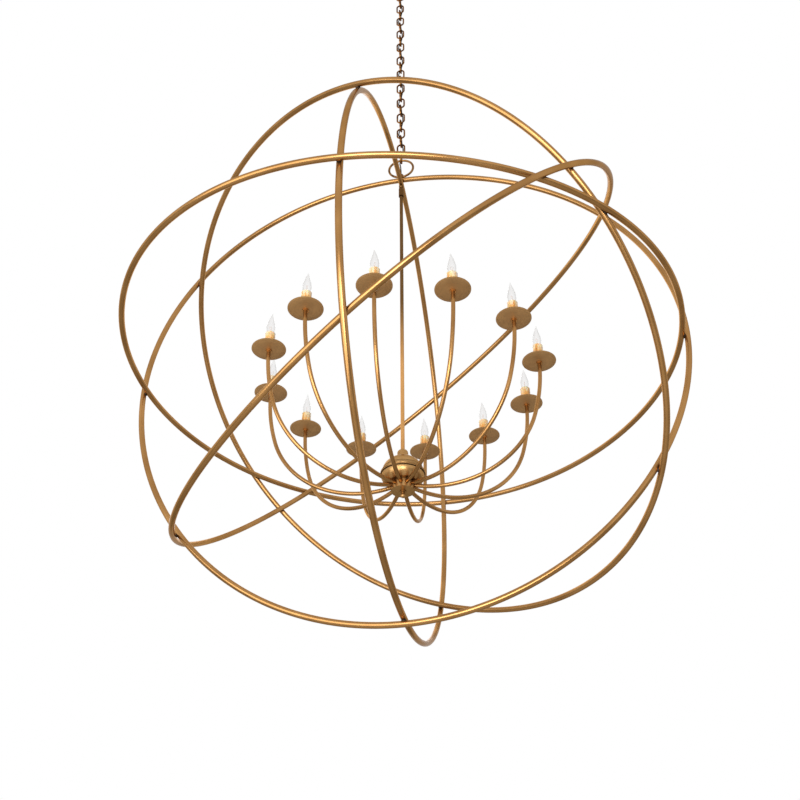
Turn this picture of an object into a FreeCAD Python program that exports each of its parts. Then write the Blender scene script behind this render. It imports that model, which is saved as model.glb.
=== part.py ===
# Orb chandelier: a woven ball of five large rings that hangs on a chain from a ceiling canopy and
# holds twelve candle lamps on arms swept up from a turned hub.
# Millimetres. The origin is the centre of the canopy's ceiling face, +Z points up into the ceiling,
# so the whole lamp hangs below it. The front ring lies in the XZ plane, the side ring in the YZ plane.

import FreeCAD, Part
import Sketcher
import math
import os
import types

from FreeCAD import Vector

# Driving dimensions: name, value, meaning. Lengths are in millimetres and angles in degrees.
SIZES = [
    ("canopy_dia", 130, "outside diameter of the ceiling canopy"),
    ("canopy_depth", 36, "drop from the ceiling to the canopy's lowest face"),
    ("canopy_wall", 1.5, "thickness of the spun canopy"),
    ("canopy_floor_dia", 48, "diameter of the canopy's flat floor"),
    ("canopy_ledge", 5, "width of the flat ledge between the canopy's curve and its band"),
    ("canopy_band", 8, "height of the canopy's upright band"),
    ("canopy_curve", 50, "radius of the canopy's curve in profile"),
    ("strap_length", 108, "length of the crossbar inside the canopy"),
    ("strap_width", 20, "width of the crossbar"),
    ("strap_thickness", 2.5, "thickness of the crossbar"),
    ("strap_hole_pitch", 88.9, "distance between the two ceiling box screws"),
    ("strap_hole_dia", 5, "clearance hole for a ceiling box screw"),
    ("nipple_dia", 10, "outside diameter of the threaded tubes"),
    ("nipple_bore", 6.4, "bore of the threaded tubes, which the supply cord passes"),
    ("nipple_engagement", 9, "length of threaded tube in the piece that it screws into"),
    ("nut_width", 15, "diameter of the lock nut on the crossbar"),
    ("nut_height", 5, "height of the lock nut on the crossbar"),
    ("collar_dia", 22, "diameter of the screw collar under the canopy"),
    ("collar_height", 14, "height of the screw collar"),
    ("canopy_loop_dia", 40, "outside diameter of the loop under the screw collar"),
    ("canopy_loop_wire", 6.5, "wire of the loop under the screw collar"),
    ("link_inner_length", 48.7, "inside length of a chain link"),
    ("link_width", 35, "outside width of a chain link"),
    ("link_wire", 6.5, "wire of a chain link"),
    ("link_count", 25, "number of chain links"),
    ("running_gap", 0.3, "clearance between pieces that move on each other"),
    ("cord_dia", 4.5, "diameter of the supply cord woven through the chain"),
    ("cord_standoff", 8, "distance of the cord's corners from both chain planes"),
    ("hanging_loop_dia", 103, "outside diameter of the round loop on top of the orb"),
    ("hanging_loop_wire", 8.5, "wire of the round loop on top of the orb"),
    ("loop_base_dia", 18, "diameter of the boss under the round loop"),
    ("loop_base_drop", 5, "length of the boss below the round loop"),
    ("loop_base_rise", 5, "length of the boss above the loop's lower wire"),
    ("orb_dia", 1829, "outside diameter of the orb"),
    ("ring_tube", 19, "diameter of the tube of the five rings"),
    ("weld_gap", 0.4, "distance between two ring tubes where they cross"),
    ("weld_dia", 15, "diameter of a weld bead at a crossing"),
    ("weld_clearance", 0.05, "clearance between a weld bead and the tubes that it sits between"),
    ("level_ring_tilt_angle", 1.2, "angle in degrees by which the level ring's axis leans"),
    ("level_ring_compass_angle", -40, "angle in degrees towards which the level ring's axis leans"),
    ("first_slant_tilt_angle", 44.4, "angle in degrees by which the first slanted ring's axis leans"),
    ("first_slant_compass_angle", 47.8,
     "angle in degrees towards which the first slanted ring's axis leans"),
    ("second_slant_tilt_angle", 44, "angle in degrees by which the second slanted ring's axis leans"),
    ("second_slant_compass_angle", 215.8,
     "angle in degrees towards which the second slanted ring's axis leans"),
    ("stem_dia", 12.7, "outside diameter of the stem"),
    ("stem_bore_depth", 60, "depth of the cord bore in the stem's top"),
    ("stem_bead_height", 14, "height of the bead under the upper crossing"),
    ("stem_bead_curve", 10, "radius of the bead in profile"),
    ("coupling_dia", 19.5, "diameter of the coupling under the bead"),
    ("coupling_height", 48, "height of the coupling"),
    ("coupling_shoulder", 8, "height of the coupling's rounded shoulder"),
    ("coupling_curve", 12, "radius of the coupling's shoulder in profile"),
    ("neck_dia", 34, "diameter of the hub's neck"),
    ("neck_top_drop", 336, "drop from the orb's centre to the top of the neck"),
    ("neck_height", 32, "height of the neck"),
    ("neck_curve", 9.5, "radius of the neck's rounded top"),
    ("dome_height", 50, "height of the hub's dome under the neck"),
    ("dome_dia", 132, "diameter of the dome's foot"),
    ("dome_foot_height", 4, "height of the upright band at the dome's foot"),
    ("dome_step", 1.5, "width of the step between the foot's band and the dome's curve"),
    ("dome_curve", 52, "radius of the dome in profile"),
    ("rim_dia", 140, "diameter over the two beads of the hub's rim"),
    ("rim_bead", 4.5, "height of each bead of the rim"),
    ("rim_groove", 1, "height of the groove between the two beads"),
    ("rim_relief", 2, "depth of the groove below the beads"),
    ("rim_bead_curve", 2.4, "radius of a bead of the rim in profile"),
    ("bowl_height", 28, "height of the hub's bowl under the rim"),
    ("bowl_foot_dia", 96, "diameter of the bowl's foot"),
    ("bowl_mouth_dia", 134, "diameter of the bowl under the rim"),
    ("bowl_curve", 31, "radius of the hub's bowl in profile"),
    ("collector_dia", 73, "diameter of the drum that gathers the arms"),
    ("collector_height", 28, "height of the drum that gathers the arms"),
    ("arm_socket_depth", 8, "depth of each arm's seat in the drum"),
    ("arm_socket_drop", 11, "drop from the drum's top to the arm's axis at the drum's face"),
    ("finial_neck_dia", 11, "diameter of the finial's neck"),
    ("finial_dia", 16, "diameter of the finial's ball"),
    ("finial_height", 23, "height of the finial"),
    ("finial_flange_dia", 20, "diameter of the finial's flange"),
    ("finial_flange_height", 3, "height of the finial's flange"),
    ("arm_count", 12, "number of arms"),
    ("arm_tube", 12.7, "diameter of the arm tube"),
    ("arm_reach", 449, "distance from the stem to each candle's axis"),
    ("arm_dip_angle", 16, "slope in degrees at which an arm leaves the drum downwards"),
    ("arm_knee_angle", 73, "slope in degrees at which an arm's lower bend runs into its upper bend"),
    ("pan_drop", 51, "drop from the orb's centre to the seat of the drip pans"),
    ("pan_nut_dia", 19, "diameter of the nut under a drip pan"),
    ("pan_nut_height", 6.5, "height of the nut under a drip pan"),
    ("arm_seat_depth", 4, "depth of the arm's seat in the nut"),
    ("pan_dia", 109.5, "diameter of a drip pan"),
    ("pan_wall", 1.5, "thickness of a drip pan"),
    ("pan_floor_dia", 64, "diameter of a drip pan's flat floor"),
    ("pan_rise", 3.5, "height of a drip pan's rim above its floor"),
    ("pan_hole", 10.6, "hole in a drip pan"),
    ("sleeve_dia", 33.5, "outside diameter of a candle sleeve"),
    ("sleeve_wall", 2, "wall of a candle sleeve"),
    ("sleeve_height", 66, "height of a candle sleeve"),
    ("socket_dia", 22, "diameter of the lamp socket inside a sleeve"),
    ("socket_recess", 4, "drop from the sleeve's top to the socket's top"),
    ("socket_bore_depth", 24, "depth of the lamp socket's bore"),
    ("lamp_base_dia", 12, "diameter of a lamp's screw base"),
    ("lamp_base_length", 20, "length of a lamp's screw base in the socket"),
    ("lamp_fit", 0.3, "clearance round a lamp's screw base"),
    ("bulb_dia", 28, "greatest diameter of a lamp's glass"),
    ("bulb_length", 86, "length of a lamp's glass above the sleeve"),
    ("bulb_neck_dia", 15, "diameter of the glass where it meets the base"),
    ("bulb_swell", 26, "height of the glass's greatest diameter above the sleeve"),
    ("bulb_tip_dia", 3, "diameter of the glass tip"),
]

OUT_DIR = "parts"


class Size:
    """A number together with the spreadsheet expression that it comes from."""

    def __init__(self, value, text):
        self.value = float(value)
        self.text = text

    def __add__(self, other):
        other = as_size(other)
        return Size(self.value + other.value, f"({self.text} + {other.text})")

    def __sub__(self, other):
        other = as_size(other)
        return Size(self.value - other.value, f"({self.text} - {other.text})")

    def __mul__(self, other):
        other = as_size(other)
        return Size(self.value * other.value, f"({self.text} * {other.text})")

    def __truediv__(self, other):
        other = as_size(other)
        return Size(self.value / other.value, f"({self.text} / {other.text})")

    def __neg__(self):
        return as_size(0) - self


def as_size(item):
    """A plain number as a Size, so that both kinds mix in one formula."""
    return item if isinstance(item, Size) else Size(item, repr(item))


def make_sheet(doc):
    """The spreadsheet of driving dimensions, and the same dimensions as named Sizes."""
    sheet = doc.addObject("Spreadsheet::Sheet", "Sizes")
    named = {}
    for row, (alias, value, meaning) in enumerate(SIZES, start=1):
        sheet.set(f"A{row}", meaning)
        sheet.set(f"B{row}", str(value))
        sheet.setAlias(f"B{row}", alias)
        named[alias] = Size(value, f"Sizes.{alias}")
    doc.recompute()
    return types.SimpleNamespace(**named)


# Finished sub-parts, in the order in which they are written.
pieces = []


def keep(piece, name):
    """Name a sub-part and put it on the list of sub-parts."""
    piece.Label = name
    pieces.append(piece)
    return piece


def feature(doc, name, shape, place=None):
    """A sub-part whose shape is made by functions, set in its own place."""
    piece = doc.addObject("Part::Feature", name)
    piece.Shape = shape
    if place is not None:
        piece.Placement = place
    return keep(piece, name)


def origin_plane(body, role):
    """One of a body's own origin planes."""
    return next(item for item in body.Origin.OriginFeatures if item.Role == role)


def arc_middle(start, end, radius, side):
    """The middle of the shorter arc from start to end that bulges to the left (side 1) or right (-1)."""
    chord = end - start
    half = chord.Length / 2
    left = Vector(-chord.y, chord.x, 0).normalize()
    rise = radius - math.sqrt(radius * radius - half * half)
    return (start + end) / 2 + left * (side * rise)


def turned(doc, name, outline, centre):
    """A turned piece. The outline lists its corners as (radius, height), in order round the section.
    A corner may add (arc radius, side) for an arc that leads on to the next corner."""
    body = doc.addObject("PartDesign::Body", name)
    sketch = body.newObject("Sketcher::SketchObject", name + "_section")
    sketch.AttachmentSupport = [(origin_plane(body, "XZ_Plane"), "")]
    sketch.MapMode = "FlatFace"
    corners = [(as_size(corner[0]), as_size(corner[1])) for corner in outline]
    points = [Vector(radius.value, height.value, 0) for radius, height in corners]
    ends = []
    for index, corner in enumerate(outline):
        start = points[index]
        end = points[(index + 1) % len(points)]
        if len(corner) == 2:
            sketch.addGeometry(Part.LineSegment(start, end), False)
            ends.append((1, 2))
            continue
        bend, side = as_size(corner[2]), corner[3]
        middle = arc_middle(start, end, bend.value, side)
        if side > 0:
            sketch.addGeometry(Part.Arc(end, middle, start), False)
            ends.append((2, 1))
        else:
            sketch.addGeometry(Part.Arc(start, middle, end), False)
            ends.append((1, 2))
        add_driven(sketch, ("Radius", index), bend, f"bend_{index}")
    add_corners(sketch, corners, ends)
    turning = body.newObject("PartDesign::Revolution", name + "_turning")
    turning.Profile = sketch
    turning.ReferenceAxis = (sketch, ["V_Axis"])
    turning.Angle = 360
    sketch.Visibility = False
    set_centre(body, centre)
    return keep(body, name)


def add_driven(sketch, kind, size, name):
    """A dimension of a sketch that follows the spreadsheet."""
    number = sketch.addConstraint(Sketcher.Constraint(*kind, size.value))
    sketch.renameConstraint(number, name)
    sketch.setExpression(f"Constraints.{name}", size.text)


def add_corners(sketch, corners, ends):
    """Join the edges of a closed outline and tie each corner to the sketch's axes."""
    for index, (radius, height) in enumerate(corners):
        following = (index + 1) % len(corners)
        start, end = ends[index]
        sketch.addConstraint(Sketcher.Constraint("Coincident", index, end, following, ends[following][0]))
        if radius.value == 0:
            sketch.addConstraint(Sketcher.Constraint("PointOnObject", index, start, -2))
        else:
            add_driven(sketch, ("DistanceX", -1, 1, index, start), radius, f"radius_{index}")
        if height.value == 0:
            sketch.addConstraint(Sketcher.Constraint("PointOnObject", index, start, -1))
        else:
            add_driven(sketch, ("DistanceY", -1, 1, index, start), height, f"height_{index}")


def set_centre(piece, centre):
    """Place a piece's own origin at (x, y, z), each tied to the spreadsheet."""
    x, y, z = (as_size(item) for item in centre)
    piece.Placement = FreeCAD.Placement(Vector(x.value, y.value, z.value), FreeCAD.Rotation())
    for axis, item in zip("xyz", (x, y, z)):
        if "Sizes" in item.text:
            piece.setExpression(f"Placement.Base.{axis}", item.text)


def ring_point(radius, angle, axis_one, axis_two):
    """A point of a circle in the plane of two unit axes."""
    return axis_one * (radius * math.cos(angle)) + axis_two * (radius * math.sin(angle))


def tube(edges, diameter):
    """A round bar along a chain of tangent edges."""
    path = Part.Wire(edges)
    first = edges[0]
    start = first.valueAt(first.FirstParameter)
    heading = first.tangentAt(first.FirstParameter)
    section = Part.Wire([Part.makeCircle(diameter / 2, start, heading)])
    return path.makePipeShell([section], True, False)


# The ceiling fitting.

def make_canopy(doc, dim):
    """Spun canopy with an upright band against the ceiling and a hole for the threaded tube."""
    hole = dim.nipple_dia / 2 + dim.running_gap
    shoulder = dim.canopy_depth - dim.canopy_band
    turned(doc, "canopy", [
        (hole, 0),
        (dim.canopy_floor_dia / 2, 0, dim.canopy_curve, -1),
        (dim.canopy_dia / 2 - dim.canopy_ledge, shoulder),
        (dim.canopy_dia / 2, shoulder),
        (dim.canopy_dia / 2, dim.canopy_depth),
        (dim.canopy_dia / 2 - dim.canopy_wall, dim.canopy_depth),
        (dim.canopy_dia / 2 - dim.canopy_wall, shoulder + dim.canopy_wall),
        (dim.canopy_dia / 2 - dim.canopy_ledge - dim.canopy_wall, shoulder + dim.canopy_wall,
         dim.canopy_curve - dim.canopy_wall, 1),
        (dim.canopy_floor_dia / 2, dim.canopy_wall),
        (hole, dim.canopy_wall),
    ], (0, 0, -dim.canopy_depth))


def make_strap(doc, dim):
    """Crossbar with two holes for the ceiling box's screws and one for the threaded tube."""
    bar = doc.addObject("Part::Box", "strap_bar")
    bar.setExpression("Length", dim.strap_length.text)
    bar.setExpression("Width", dim.strap_width.text)
    bar.setExpression("Height", dim.strap_thickness.text)
    set_centre(bar, (-dim.strap_length / 2, -dim.strap_width / 2, -dim.strap_thickness))
    half_pitch = dim.strap_hole_pitch / 2
    tube_hole = dim.nipple_dia / 2 + dim.running_gap
    holes = []
    for label, x, radius in (("left", -half_pitch, dim.strap_hole_dia / 2),
                             ("middle", as_size(0), tube_hole),
                             ("right", half_pitch, dim.strap_hole_dia / 2)):
        hole = doc.addObject("Part::Cylinder", "strap_hole_" + label)
        hole.setExpression("Radius", radius.text)
        hole.setExpression("Height", (dim.strap_thickness * 3).text)
        set_centre(hole, (x, 0, -dim.strap_thickness * 2))
        holes.append(hole)
    punch = doc.addObject("Part::MultiFuse", "strap_holes")
    punch.Shapes = holes
    strap = doc.addObject("Part::Cut", "canopy_strap")
    strap.Base = bar
    strap.Tool = punch
    keep(strap, "canopy_strap")


NUT_SIDES = 6


def make_canopy_nipple(doc, dim):
    """Threaded tube from the crossbar down into the collar, with a hexagonal nut under the crossbar."""
    length = (dim.canopy_depth + dim.nipple_engagement).value
    radius = dim.nipple_dia.value / 2
    rod = Part.makeCylinder(radius, length, Vector(0, 0, -length))
    bore = Part.makeCylinder(dim.nipple_bore.value / 2, length, Vector(0, 0, -length))
    seat = -(dim.strap_thickness + dim.nut_height).value
    corner_radius = dim.nut_width.value / 2 / math.cos(math.pi / NUT_SIDES)
    corners = [ring_point(corner_radius, 2 * math.pi * side / NUT_SIDES, Vector(1, 0, 0), Vector(0, 1, 0))
               + Vector(0, 0, seat) for side in range(NUT_SIDES + 1)]
    nut = Part.Face(Part.makePolygon(corners)).extrude(Vector(0, 0, dim.nut_height.value))
    nut = nut.cut(Part.makeCylinder(radius, dim.nut_height.value, Vector(0, 0, seat)))
    feature(doc, "canopy_nipple", Part.makeCompound([rod.cut(bore), nut]))


def canopy_loop_height(dim):
    """Height of the centre of the loop under the canopy; its wire is half sunk in the collar."""
    return -(dim.canopy_depth + dim.collar_height + dim.canopy_loop_dia / 2 - dim.canopy_loop_wire / 2).value


def make_canopy_loop(doc, dim):
    """Screw collar and loop in one casting, bored for the threaded tube and the cord."""
    top = -dim.canopy_depth.value
    height = dim.collar_height.value
    wire = dim.canopy_loop_wire.value
    collar = Part.makeCylinder(dim.collar_dia.value / 2, height, Vector(0, 0, top - height))
    middle = Vector(0, 0, canopy_loop_height(dim))
    loop = Part.makeTorus((dim.canopy_loop_dia.value - wire) / 2, wire / 2, middle, Vector(0, 1, 0))
    depth = dim.nipple_engagement.value
    seat = Part.makeCylinder(dim.nipple_dia.value / 2 + dim.running_gap.value, depth,
                             Vector(0, 0, top - depth))
    way = Part.makeCylinder(dim.nipple_bore.value / 2, height + wire, Vector(0, 0, top - height - wire))
    feature(doc, "canopy_loop", collar.fuse(loop).cut(seat).cut(way).removeSplitter())


# The chain and its cord.

def link_shape(dim):
    """One chain link in the XZ plane, centred on the origin."""
    wire = dim.link_wire.value
    reach = (dim.link_width.value - wire) / 2
    straight = dim.link_inner_length.value / 2 - (reach - wire / 2)
    bars = [Part.makeCylinder(wire / 2, 2 * straight, Vector(side * reach, 0, -straight))
            for side in (-1, 1)]
    bows = []
    for side in (-1, 1):
        bow = Part.makeTorus(reach, wire / 2, Vector(0, 0, 0), Vector(0, 0, 1), -180, 180, 180)
        bow.rotate(Vector(0, 0, 0), Vector(1, 0, 0), 90 * side)
        bow.translate(Vector(0, 0, side * straight))
        bows.append(bow)
    return bars[0].multiFuse([bars[1]] + bows).removeSplitter()


def chain_heights(dim):
    """Heights of the link centres from the top down, each link hung in the one above it."""
    wire = dim.link_wire.value
    gap = dim.running_gap.value
    inner = dim.link_inner_length.value
    carrier = canopy_loop_height(dim) - (dim.canopy_loop_dia - dim.canopy_loop_wire).value / 2
    first = carrier + (dim.canopy_loop_wire.value + wire) / 2 + gap - (inner + wire) / 2
    return [first - index * (inner - gap) for index in range(int(dim.link_count.value))]


def link_turn(index):
    """Turn of a link about the chain's axis: the top link stands in the YZ plane, the next in XZ."""
    return FreeCAD.Rotation(Vector(0, 0, 1), 90 if index % 2 == 0 else 0)


def make_chain(doc, dim):
    """Top link, bottom link and the run of links between them."""
    heights = chain_heights(dim)
    link = link_shape(dim)
    places = [FreeCAD.Placement(Vector(0, 0, height), link_turn(index))
              for index, height in enumerate(heights)]
    feature(doc, "chain_link_top", link, places[0])
    run = [link.transformed(place.toMatrix()) for place in places[1:-1]]
    feature(doc, "chain_run", Part.makeCompound(run))
    feature(doc, "chain_link_bottom", link, places[-1])


def hanging_loop_height(dim):
    """Height of the centre of the round loop that hangs in the bottom link."""
    lowest = chain_heights(dim)[-1] - (dim.link_inner_length + dim.link_wire).value / 2
    top_wire = lowest + (dim.link_wire + dim.hanging_loop_wire).value / 2 + dim.running_gap.value
    return top_wire - (dim.hanging_loop_dia - dim.hanging_loop_wire).value / 2


def make_hanging_loop(doc, dim):
    """Round loop in the front ring's plane on a boss that is bored for the stem's end and the cord."""
    wire = dim.hanging_loop_wire.value
    middle = hanging_loop_height(dim)
    foot = loop_base_height(dim)
    height = (dim.loop_base_drop + dim.hanging_loop_wire + dim.loop_base_rise).value
    loop = Part.makeTorus((dim.hanging_loop_dia.value - wire) / 2, wire / 2,
                          Vector(0, 0, middle), Vector(0, 1, 0))
    boss = Part.makeCylinder(dim.loop_base_dia.value / 2, height, Vector(0, 0, foot))
    gap = dim.running_gap.value
    seat = Part.makeCylinder(dim.nipple_dia.value / 2 + gap, dim.nipple_engagement.value + gap,
                             Vector(0, 0, foot))
    way = Part.makeCylinder(dim.nipple_bore.value / 2, height, Vector(0, 0, foot))
    feature(doc, "hanging_loop", loop.fuse(boss).cut(seat).cut(way).removeSplitter())


def loop_base_height(dim):
    """Height of the lower face of the boss under the round loop."""
    return hanging_loop_height(dim) - (dim.hanging_loop_dia / 2 + dim.loop_base_drop).value


def cord_corners(dim):
    """Corners of the cord's way down: out of the canopy, once through every link, into the stem."""
    out = dim.cord_standoff.value
    heights = chain_heights(dim)
    pitch = (dim.link_inner_length - dim.running_gap).value
    seam = heights[0] + pitch / 2
    corners = [Vector(0, 0, -dim.canopy_depth.value), Vector(0, 0, canopy_loop_height(dim) + out)]
    side_x, side_y = 1, 1
    for index in range(len(heights) + 1):
        corners.append(Vector(side_x * out, side_y * out, seam - index * pitch))
        if index % 2 == 0:
            side_x = -side_x
        else:
            side_y = -side_y
    foot = loop_base_height(dim)
    corners.append(Vector(0, 0, hanging_loop_height(dim) + out))
    corners.append(Vector(0, 0, foot + dim.loop_base_drop.value))
    return corners


CORD_BEND_SHARE = 0.45


def cord_spans(corners):
    """Edges between the middles of neighbouring bends: straight runs joined by tangent arcs."""
    spans = []
    leave = corners[0]
    edges = []
    for before, corner, after in zip(corners, corners[1:], corners[2:]):
        inward = (before - corner).normalize()
        outward = (after - corner).normalize()
        setback = CORD_BEND_SHARE * min((before - corner).Length, (after - corner).Length)
        turn = math.pi - inward.getAngle(outward)
        start = corner + inward * setback
        end = corner + outward * setback
        radius = setback / math.tan(turn / 2)
        bisector = (inward + outward).normalize()
        centre = corner + bisector * (radius / math.cos(turn / 2))
        middle = centre - bisector * radius
        quarter = centre + ((start - centre) + (middle - centre)).normalize() * radius
        last_quarter = centre + ((end - centre) + (middle - centre)).normalize() * radius
        edges.append(Part.LineSegment(leave, start).toShape())
        edges.append(Part.Arc(start, quarter, middle).toShape())
        spans.append(edges)
        edges = [Part.Arc(middle, last_quarter, end).toShape()]
        leave = end
    edges.append(Part.LineSegment(leave, corners[-1]).toShape())
    spans.append(edges)
    return spans


def cord_bends(corners):
    """Radius of the cord's bend at each corner of its way."""
    bends = []
    for before, corner, after in zip(corners, corners[1:], corners[2:]):
        turn = math.pi - (before - corner).getAngle(after - corner)
        setback = CORD_BEND_SHARE * min((before - corner).Length, (after - corner).Length)
        bends.append(setback / math.tan(turn / 2))
    return bends


def make_cord(doc, dim):
    """The supply cord, parted where the chain hinges so that each length moves with its links."""
    corners = cord_corners(dim)
    spans = cord_spans(corners)
    print("cord bend radii", " ".join(str(round(bend, 1)) for bend in cord_bends(corners)))
    lengths = [("cord_at_canopy", spans[:2]), ("cord_in_top_link", spans[2:3]),
               ("cord_in_chain", spans[3:-3]),
               ("cord_in_bottom_link", spans[-3:-2]), ("cord_to_stem", spans[-2:])]
    for name, parts in lengths:
        edges = [edge for span in parts for edge in span]
        feature(doc, name, tube(edges, dim.cord_dia.value))


# The woven orb.

RINGS = ["slant_one", "level", "front", "slant_two", "side"]

# Two rings, then the one that passes outside where the first ring's axis crossed with the second
# ring's axis points, then the one that passes outside at the opposite crossing.
CROSSINGS = [
    ("slant_one", "level", "level", "slant_one"),
    ("slant_one", "front", "front", "slant_one"),
    ("slant_one", "slant_two", "slant_two", "slant_one"),
    ("slant_one", "side", "side", "slant_one"),
    ("level", "front", "front", "front"),
    ("level", "slant_two", "slant_two", "level"),
    ("level", "side", "level", "level"),
    ("front", "slant_two", "front", "slant_two"),
    ("front", "side", "front", "front"),
    ("slant_two", "side", "slant_two", "side"),
]

# A ring may shift and swell a little and bend in waves; more waves cost more bending.
HIGHEST_WAVE = 4
SWELL_COST = 1
SHIFT_COST = 0.3

# A direction whose height is over this points straight up.
UPRIGHT = 0.999


def leaning_axis(lean, heading):
    """Unit axis that leans from the vertical by one angle towards another."""
    tilt = math.radians(lean.value)
    turn = math.radians(heading.value)
    return Vector(math.sin(tilt) * math.cos(turn), math.sin(tilt) * math.sin(turn), math.cos(tilt))


def wave_costs():
    """Bending cost of each wave of a ring: one for its swell and two for each wave number."""
    costs = [SWELL_COST]
    for wave in range(1, HIGHEST_WAVE + 1):
        costs += [max(wave * wave - 1, SHIFT_COST)] * 2
    return costs


def waves(angle):
    """Values of the waves of a ring at an angle round it."""
    values = [1]
    for wave in range(1, HIGHEST_WAVE + 1):
        values += [math.cos(wave * angle), math.sin(wave * angle)]
    return values


def wave_slopes(angle):
    """Slopes of the waves of a ring at an angle round it."""
    slopes = [0]
    for wave in range(1, HIGHEST_WAVE + 1):
        slopes += [-wave * math.sin(wave * angle), wave * math.cos(wave * angle)]
    return slopes


def solve(matrix, right):
    """Solution of a set of linear equations, by elimination with the largest pivot."""
    count = len(right)
    rows = [list(row) + [value] for row, value in zip(matrix, right)]
    for column in range(count):
        pivot = max(range(column, count), key=lambda row: abs(rows[row][column]))
        rows[column], rows[pivot] = rows[pivot], rows[column]
        for row in range(column + 1, count):
            share = rows[row][column] / rows[column][column]
            rows[row] = [one - share * two for one, two in zip(rows[row], rows[column])]
    result = [0.0] * count
    for row in reversed(range(count)):
        known = sum(rows[row][column] * result[column] for column in range(row + 1, count))
        result[row] = (rows[row][count] - known) / rows[row][row]
    return result


class Orb:
    """Five equal rings bent as little as possible so that each pair just touches at both crossings."""

    def __init__(self, dim):
        self.tube = dim.ring_tube.value
        self.radius = (dim.orb_dia - dim.ring_tube).value / 2
        self.axes = {
            "slant_one": leaning_axis(dim.first_slant_tilt_angle, dim.first_slant_compass_angle),
            "level": leaning_axis(dim.level_ring_tilt_angle, dim.level_ring_compass_angle),
            "front": Vector(0, 1, 0),
            "slant_two": leaning_axis(dim.second_slant_tilt_angle, dim.second_slant_compass_angle),
            "side": Vector(1, 0, 0),
        }
        self.contacts = self.list_contacts()
        self.bend(self.tube + dim.weld_gap.value)

    def plane(self, ring):
        """Two unit axes in a ring's plane."""
        axis = self.axes[ring]
        guide = Vector(1, 0, 0) if abs(axis.z) > 0.9 else Vector(0, 0, 1)
        first = guide.cross(axis).normalize()
        return first, axis.cross(first)

    def angle(self, ring, direction):
        """Angle round a ring at which it passes through a direction."""
        first, second = self.plane(ring)
        return math.atan2(direction.dot(second), direction.dot(first))

    def list_contacts(self):
        """Every crossing as (outer ring, inner ring, direction from the orb's centre)."""
        contacts = []
        for one, two, outer, outer_opposite in CROSSINGS:
            along = self.axes[one].cross(self.axes[two]).normalize()
            for direction, outside in ((along, outer), (-along, outer_opposite)):
                contacts.append((outside, two if outside == one else one, direction))
        return contacts

    def bend(self, distance):
        """Least bending that holds the two rings of every crossing one distance apart."""
        costs = wave_costs() * len(RINGS)
        rows = []
        for outer, inner, direction in self.contacts:
            row = [0.0] * len(costs)
            for ring, sign in ((outer, 1), (inner, -1)):
                start = RINGS.index(ring) * len(wave_costs())
                for offset, value in enumerate(waves(self.angle(ring, direction))):
                    row[start + offset] += sign * value
            rows.append(row)
        matrix = [[sum(a * b / (cost * cost) for a, b, cost in zip(one, two, costs)) for two in rows]
                  for one in rows]
        pushes = solve(matrix, [distance] * len(rows))
        sizes = [sum(push * row[place] for push, row in zip(pushes, rows)) / (costs[place] * costs[place])
                 for place in range(len(costs))]
        width = len(wave_costs())
        self.bends = {ring: sizes[index * width:(index + 1) * width] for index, ring in enumerate(RINGS)}

    def reach(self, ring, direction):
        """Distance from the orb's centre to a ring's centreline in a direction in its plane."""
        return self.radius + sum(size * value for size, value in
                                 zip(self.bends[ring], waves(self.angle(ring, direction))))

    def station(self, ring, angle):
        """Point and heading of a ring's centreline at an angle round it."""
        first, second = self.plane(ring)
        outward = ring_point(1, angle, first, second)
        onward = ring_point(1, angle + math.pi / 2, first, second)
        reach = self.radius + sum(size * value for size, value in zip(self.bends[ring], waves(angle)))
        slope = sum(size * value for size, value in zip(self.bends[ring], wave_slopes(angle)))
        return outward * reach, (outward * slope + onward * reach).normalize()

    def path(self, ring):
        """Closed centreline of a ring: two tangent arcs from each crossing to the next."""
        angles = sorted(self.angle(ring, direction) for outer, inner, direction in self.contacts
                        if ring in (outer, inner))
        stations = [self.station(ring, angle) for angle in angles]
        edges = []
        for (start, leaving), (end, arriving) in zip(stations, stations[1:] + stations[:1]):
            edges += two_arcs(start, leaving, end, arriving)
        return edges


def arc_onward(start, heading, end):
    """Arc that leaves start along a heading and ends at end."""
    chord = end - start
    aside = (heading - chord * (heading.dot(chord) / chord.dot(chord))).normalize()
    middle = (start + end) / 2 + aside * (chord.Length / 2 * math.tan(heading.getAngle(chord) / 2))
    return Part.Arc(start, middle, end).toShape()


def two_arcs(start, leaving, end, arriving):
    """Two tangent arcs between two points with given headings."""
    span = end - start
    both = leaving + arriving
    closing = 2 * (1 - leaving.dot(arriving))
    reach = (math.sqrt(span.dot(both) ** 2 + closing * span.dot(span)) - span.dot(both)) / closing
    joint = (start + leaving * reach + end - arriving * reach) / 2
    onward = (end - arriving * reach - start - leaving * reach).normalize()
    return [arc_onward(start, leaving, joint), arc_onward(joint, onward, end)]


def orb_height(dim, orb):
    """Height of the orb's centre: the front ring's top lies just under the round loop's boss."""
    pole = Vector(0, 0, 1)
    return loop_base_height(dim) - dim.running_gap.value - dim.ring_tube.value / 2 - orb.reach("front", pole)


def make_rings(doc, dim, orb):
    """The five rings, drilled for the stem's end at the upper crossing, and the weld beads."""
    place = FreeCAD.Placement(Vector(0, 0, orb_height(dim, orb)), FreeCAD.Rotation())
    drill = Part.makeCylinder(dim.nipple_dia.value / 2 + dim.running_gap.value, 4 * orb.tube,
                              Vector(0, 0, orb.radius - 2 * orb.tube))
    for ring in RINGS:
        shape = tube(orb.path(ring), orb.tube)
        if ring in ("front", "side"):
            shape = shape.cut(drill)
        feature(doc, "orb_ring_" + ring, shape, place)
    beads = [weld_bead(dim, orb, outer, inner, direction) for outer, inner, direction in orb.contacts
             if direction.z < UPRIGHT]
    feature(doc, "ring_welds", Part.makeCompound(beads), place)


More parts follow.
